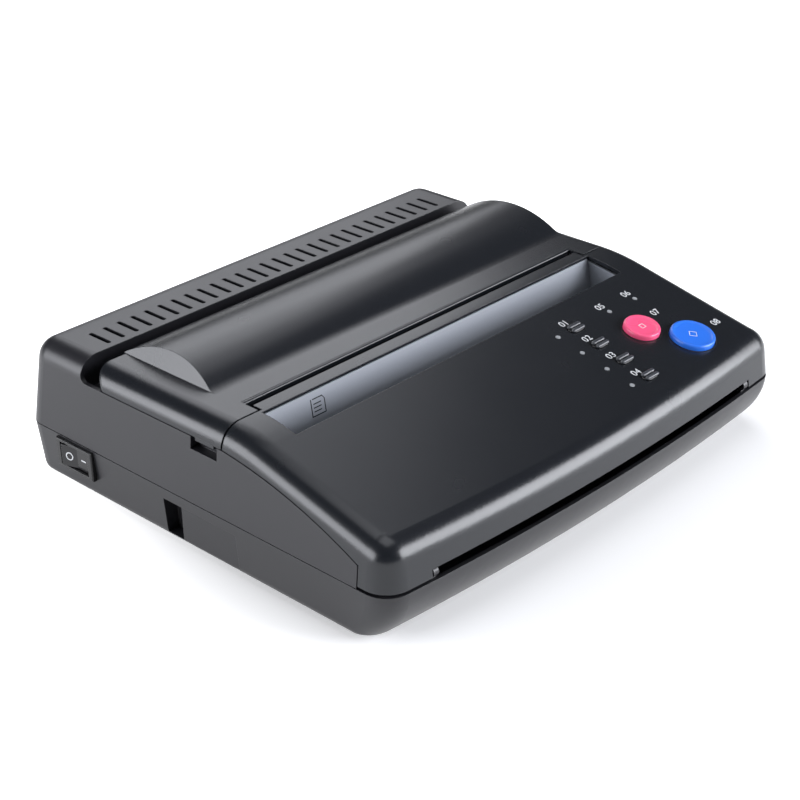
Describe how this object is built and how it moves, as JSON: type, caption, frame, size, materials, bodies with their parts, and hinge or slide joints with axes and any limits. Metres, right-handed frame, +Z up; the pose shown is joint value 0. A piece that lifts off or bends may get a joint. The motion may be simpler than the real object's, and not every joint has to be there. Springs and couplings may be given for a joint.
{
  "type": "thermal stencil copier",
  "caption": "Low desktop thermal stencil copier: wide black case with a sloping key panel, a hinged ribbed-rear lid, a top sheet inlet, a front exit slot and a side rocker switch.",
  "frame": {"origin": "under the middle of the case, on the surface that the feet stand on", "axes": "+X to the machine's right as seen from the front, -Y towards the front exit slot, +Z up"},
  "size_m": [0.2745, 0.2454, 0.0785],
  "materials": {
    "case_side": "satin moulded black ABS",
    "case_top": "semi-gloss moulded black ABS",
    "base_black": "fine-textured moulded black ABS",
    "rubber": "matte rubber",
    "roller_white": "smooth white rubber",
    "steel": "bright zinc-plated",
    "aluminium": "extruded",
    "acetal": "moulded natural acetal",
    "polystyrene": "moulded dark grey polystyrene",
    "chute_grey": "moulded light grey polystyrene",
    "black_steel": "black-oxidised",
    "blue_key": "glossy blue",
    "red_key": "glossy red",
    "key_black": "glossy black",
    "lens": "translucent grey",
    "circuit_board": "green solder mask",
    "scanner_black": "matte black",
    "glass": "clear",
    "ceramic": "glazed ceramic"
  },
  "bodies": {
    "chassis": {"base_tray": "base_black", "upper_housing": "case_side", "left_side_frame": "steel", "right_side_frame": "steel", "shaft_bushes": "acetal", "idler_studs": "steel", "print_motor": "steel", "feed_motor": "steel", "scanner_bar": "scanner_black", "scanner_glass": "glass", "scanner_bracket": "steel", "head_bracket": "steel", "head_springs": "steel", "stencil_tray": "polystyrene", "stencil_deflector": "polystyrene", "document_guide": "chute_grey", "main_board": "circuit_board", "power_board": "circuit_board", "transformer": "steel", "inner_screws": "steel", "case_screws": "steel", "rubber_feet": "rubber", "rocker_bezel": "key_black", "mains_inlet": "scanner_black", "panel_hinge_pins": "black_steel"},
    "lid": {"lid_cover": "case_top", "lid_hinge_pins": "steel"},
    "panel": {"control_panel": "case_top", "control_board": "circuit_board", "tact_switches": "key_black", "indicator_lenses": "lens", "upper_document_guide": "polystyrene", "board_screws": "steel"},
    "copy_button": {"copy_button": "blue_key"},
    "stop_button": {"stop_button": "red_key"},
    "mode_key_1": {"mode_key_1": "key_black"},
    "mode_key_2": {"mode_key_2": "key_black"},
    "mode_key_3": {"mode_key_3": "key_black"},
    "mode_key_4": {"mode_key_4": "key_black"},
    "rocker": {"rocker_key": "key_black"},
    "platen": {"platen_shaft": "steel", "platen_rubber": "rubber", "platen_gear": "acetal"},
    "print_idler": {"print_idler": "acetal"},
    "print_pinion": {"print_pinion": "steel"},
    "feed_roller": {"feed_shaft": "steel", "feed_rubber": "rubber", "feed_gear": "acetal"},
    "feed_idler": {"feed_idler": "acetal"},
    "feed_pinion": {"feed_pinion": "steel"},
    "exit_roller": {"exit_shaft": "steel", "exit_rubbers": "rubber", "exit_gear": "acetal"},
    "transfer_idler": {"transfer_idler": "acetal"},
    "white_roller": {"white_roller": "roller_white", "white_gear": "acetal"},
    "pinch_roller": {"pinch_shaft": "steel", "pinch_rollers": "rubber"},
    "print_head": {"thermal_head": "ceramic", "head_heat_sink": "aluminium"}
  },
  "joints": [
    {"name": "lid_hinge", "type": "hinge", "parent": "chassis", "child": "lid", "pos_m": [0, 0.0698, 0.0608], "axis": [-1, 0, 0], "range_deg": [0, 62]},
    {"name": "panel_hinge", "type": "hinge", "parent": "chassis", "child": "panel", "pos_m": [0, -0.1157, 0.0309], "axis": [1, 0, 0], "range_deg": [0, 35]},
    {"name": "rocker_hinge", "type": "hinge", "parent": "chassis", "child": "rocker", "pos_m": [-0.1327, 0.0838, 0.0198], "axis": [0, 0, 1], "range_deg": [-16, 0]},
    {"name": "copy_button_slide", "type": "slide", "parent": "panel", "child": "copy_button", "axis": [0, 0.23, -0.9732], "range_m": [0, 0.001], "stiffness_N_per_m": 600, "springref_m": -0.0006},
    {"name": "stop_button_slide", "type": "slide", "parent": "panel", "child": "stop_button", "axis": [0, 0.23, -0.9732], "range_m": [0, 0.001], "stiffness_N_per_m": 600, "springref_m": -0.0006},
    {"name": "mode_key_1_slide", "type": "slide", "parent": "panel", "child": "mode_key_1", "axis": [0, 0.23, -0.9732], "range_m": [0, 0.001], "stiffness_N_per_m": 600, "springref_m": -0.0006},
    {"name": "mode_key_2_slide", "type": "slide", "parent": "panel", "child": "mode_key_2", "axis": [0, 0.23, -0.9732], "range_m": [0, 0.001], "stiffness_N_per_m": 600, "springref_m": -0.0006},
    {"name": "mode_key_3_slide", "type": "slide", "parent": "panel", "child": "mode_key_3", "axis": [0, 0.23, -0.9732], "range_m": [0, 0.001], "stiffness_N_per_m": 600, "springref_m": -0.0006},
    {"name": "mode_key_4_slide", "type": "slide", "parent": "panel", "child": "mode_key_4", "axis": [0, 0.23, -0.9732], "range_m": [0, 0.001], "stiffness_N_per_m": 600, "springref_m": -0.0006},
    {"name": "platen_spin", "type": "hinge", "parent": "chassis", "child": "platen", "pos_m": [0, 0.0033, 0.053], "axis": [1, 0, 0], "continuous": true},
    {"name": "print_idler_spin", "type": "hinge", "parent": "chassis", "child": "print_idler", "pos_m": [0, 0.02107, 0.03809], "axis": [1, 0, 0], "continuous": true},
    {"name": "print_pinion_spin", "type": "hinge", "parent": "chassis", "child": "print_pinion", "pos_m": [0, 0.03475, 0.02578], "axis": [1, 0, 0], "continuous": true},
    {"name": "feed_roller_spin", "type": "hinge", "parent": "chassis", "child": "feed_roller", "pos_m": [0, -0.0672, 0.023], "axis": [1, 0, 0], "continuous": true},
    {"name": "feed_idler_spin", "type": "hinge", "parent": "chassis", "child": "feed_idler", "pos_m": [0, -0.05017, 0.02061], "axis": [1, 0, 0], "continuous": true},
    {"name": "feed_pinion_spin", "type": "hinge", "parent": "chassis", "child": "feed_pinion", "pos_m": [0, -0.03831, 0.01698], "axis": [1, 0, 0], "continuous": true},
    {"name": "exit_roller_spin", "type": "hinge", "parent": "chassis", "child": "exit_roller", "pos_m": [0, -0.1007, 0.025], "axis": [1, 0, 0], "continuous": true},
    {"name": "transfer_idler_spin", "type": "hinge", "parent": "chassis", "child": "transfer_idler", "pos_m": [0, -0.0852, 0.02325], "axis": [1, 0, 0], "continuous": true},
    {"name": "white_roller_spin", "type": "hinge", "parent": "chassis", "child": "white_roller", "pos_m": [0, -0.0852, 0.03725], "axis": [1, 0, 0], "continuous": true},
    {"name": "pinch_roller_spin", "type": "hinge", "parent": "panel", "child": "pinch_roller", "pos_m": [0, -0.1007, 0.0356], "axis": [1, 0, 0], "continuous": true},
    {"name": "print_head_slide", "type": "slide", "parent": "chassis", "child": "print_head", "axis": [0, 0, -1], "range_m": [0, 0.0015], "stiffness_N_per_m": 900, "springref_m": -0.002, "deforming": ["head_springs"]}
  ],
  "couplings": [
    {"joint": "print_idler_spin", "follows": "platen_spin", "ratio": -0.70588},
    {"joint": "print_pinion_spin", "follows": "platen_spin", "ratio": 2},
    {"joint": "feed_idler_spin", "follows": "feed_roller_spin", "ratio": -1.2632},
    {"joint": "feed_pinion_spin", "follows": "feed_roller_spin", "ratio": 2},
    {"joint": "transfer_idler_spin", "follows": "feed_roller_spin", "ratio": -1.1429},
    {"joint": "exit_roller_spin", "follows": "feed_roller_spin", "ratio": 1.3333},
    {"joint": "white_roller_spin", "follows": "feed_roller_spin", "ratio": 1.7143}
  ]
}
